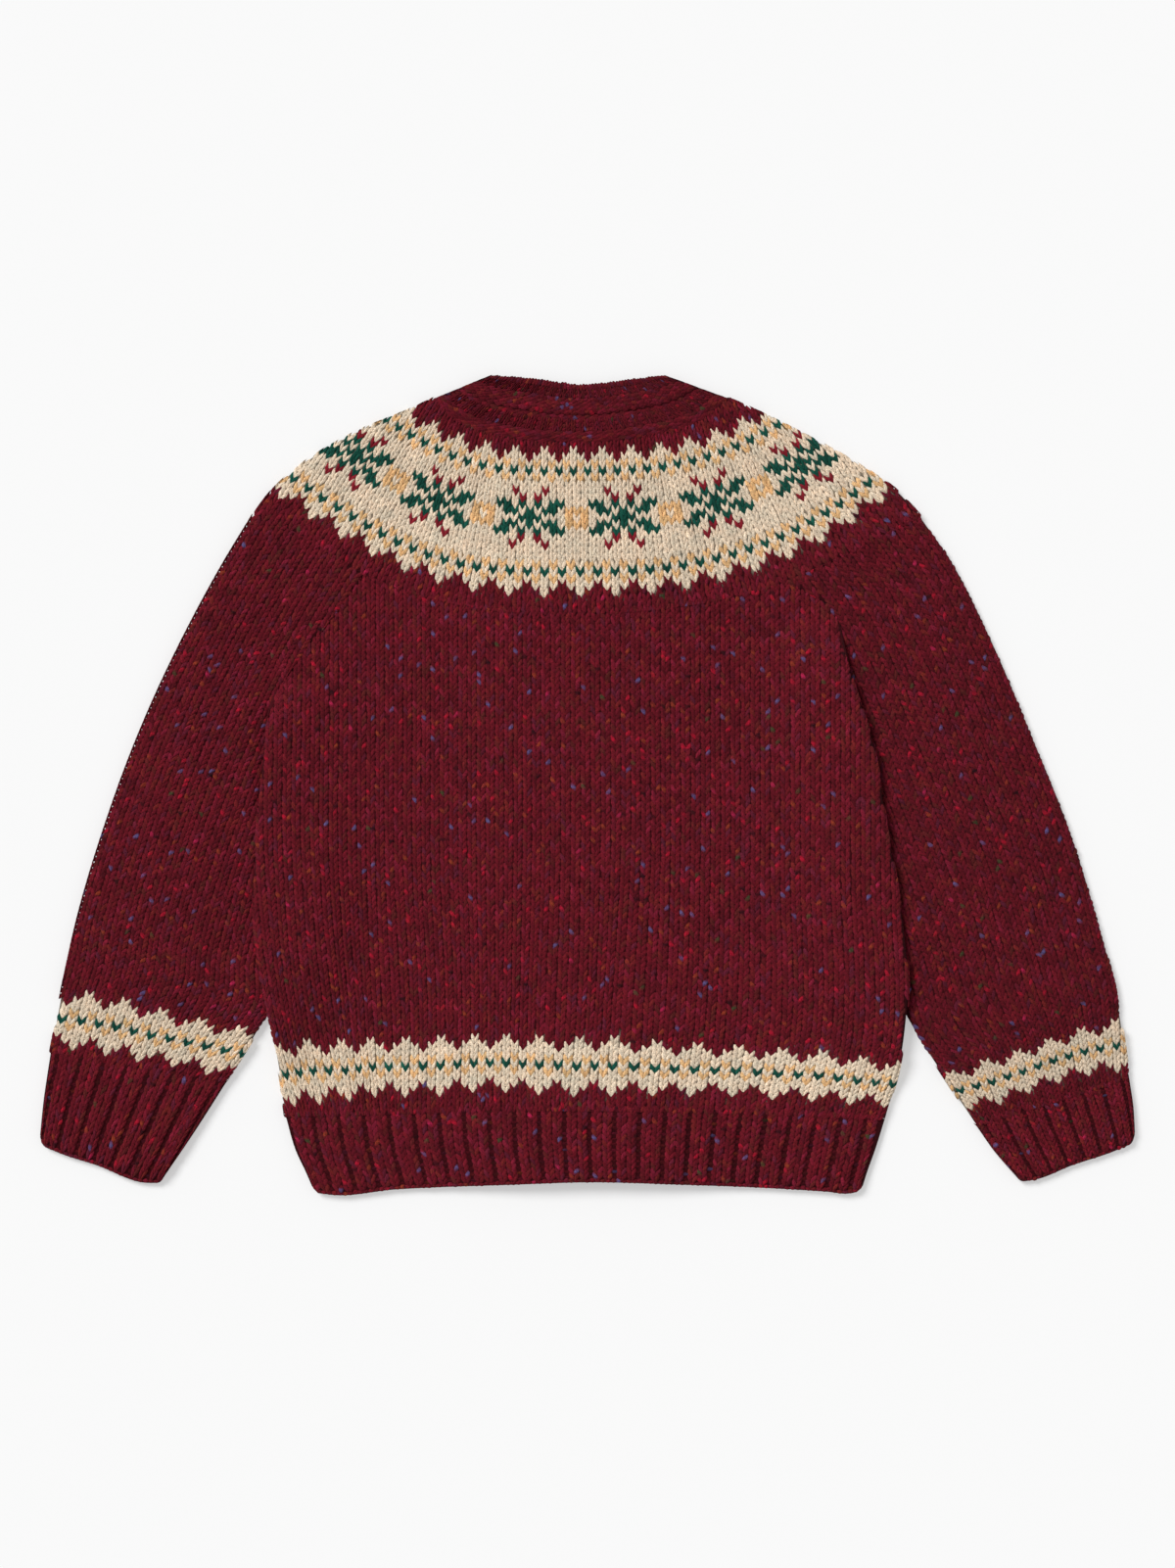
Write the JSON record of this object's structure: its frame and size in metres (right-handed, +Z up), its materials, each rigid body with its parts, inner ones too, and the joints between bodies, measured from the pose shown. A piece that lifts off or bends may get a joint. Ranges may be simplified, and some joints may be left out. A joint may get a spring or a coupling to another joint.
{
  "type": "fair isle cardigan",
  "caption": "Child's tweed wool cardigan laid flat, back up, with a patterned round yoke, ribbed hem and cuffs, and a buttoned front underneath.",
  "frame": {"origin": "on the surface that the garment lies on, under the middle of its outline", "axes": "+X across the back towards the wearer's right, +Y from the hem to the neck, +Z up out of the back"},
  "size_m": [0.644, 0.4818, 0.0131],
  "materials": {
    "tweed_knit": "stocking stitch in flecked woollen yarn",
    "tweed_rib": "rib in flecked woollen yarn",
    "yoke_knit": "stranded stocking stitch in woollen yarn",
    "button": "satin, turned"
  },
  "bodies": {
    "root": {"back": "tweed_knit", "hem_rib_back": "tweed_rib", "front_left": "tweed_knit", "front_right": "tweed_knit", "hem_rib_front_left": "tweed_rib", "hem_rib_front_right": "tweed_rib", "sleeve_left": "tweed_knit", "sleeve_right": "tweed_knit", "cuff_left": "tweed_rib", "cuff_right": "tweed_rib", "yoke": "yoke_knit", "neckband": "tweed_rib", "button_band": "tweed_rib", "buttonhole_band": "tweed_rib", "button_1": "button", "button_2": "button", "button_3": "button", "button_4": "button", "button_5": "button", "button_6": "button"}
  },
  "joints": []
}
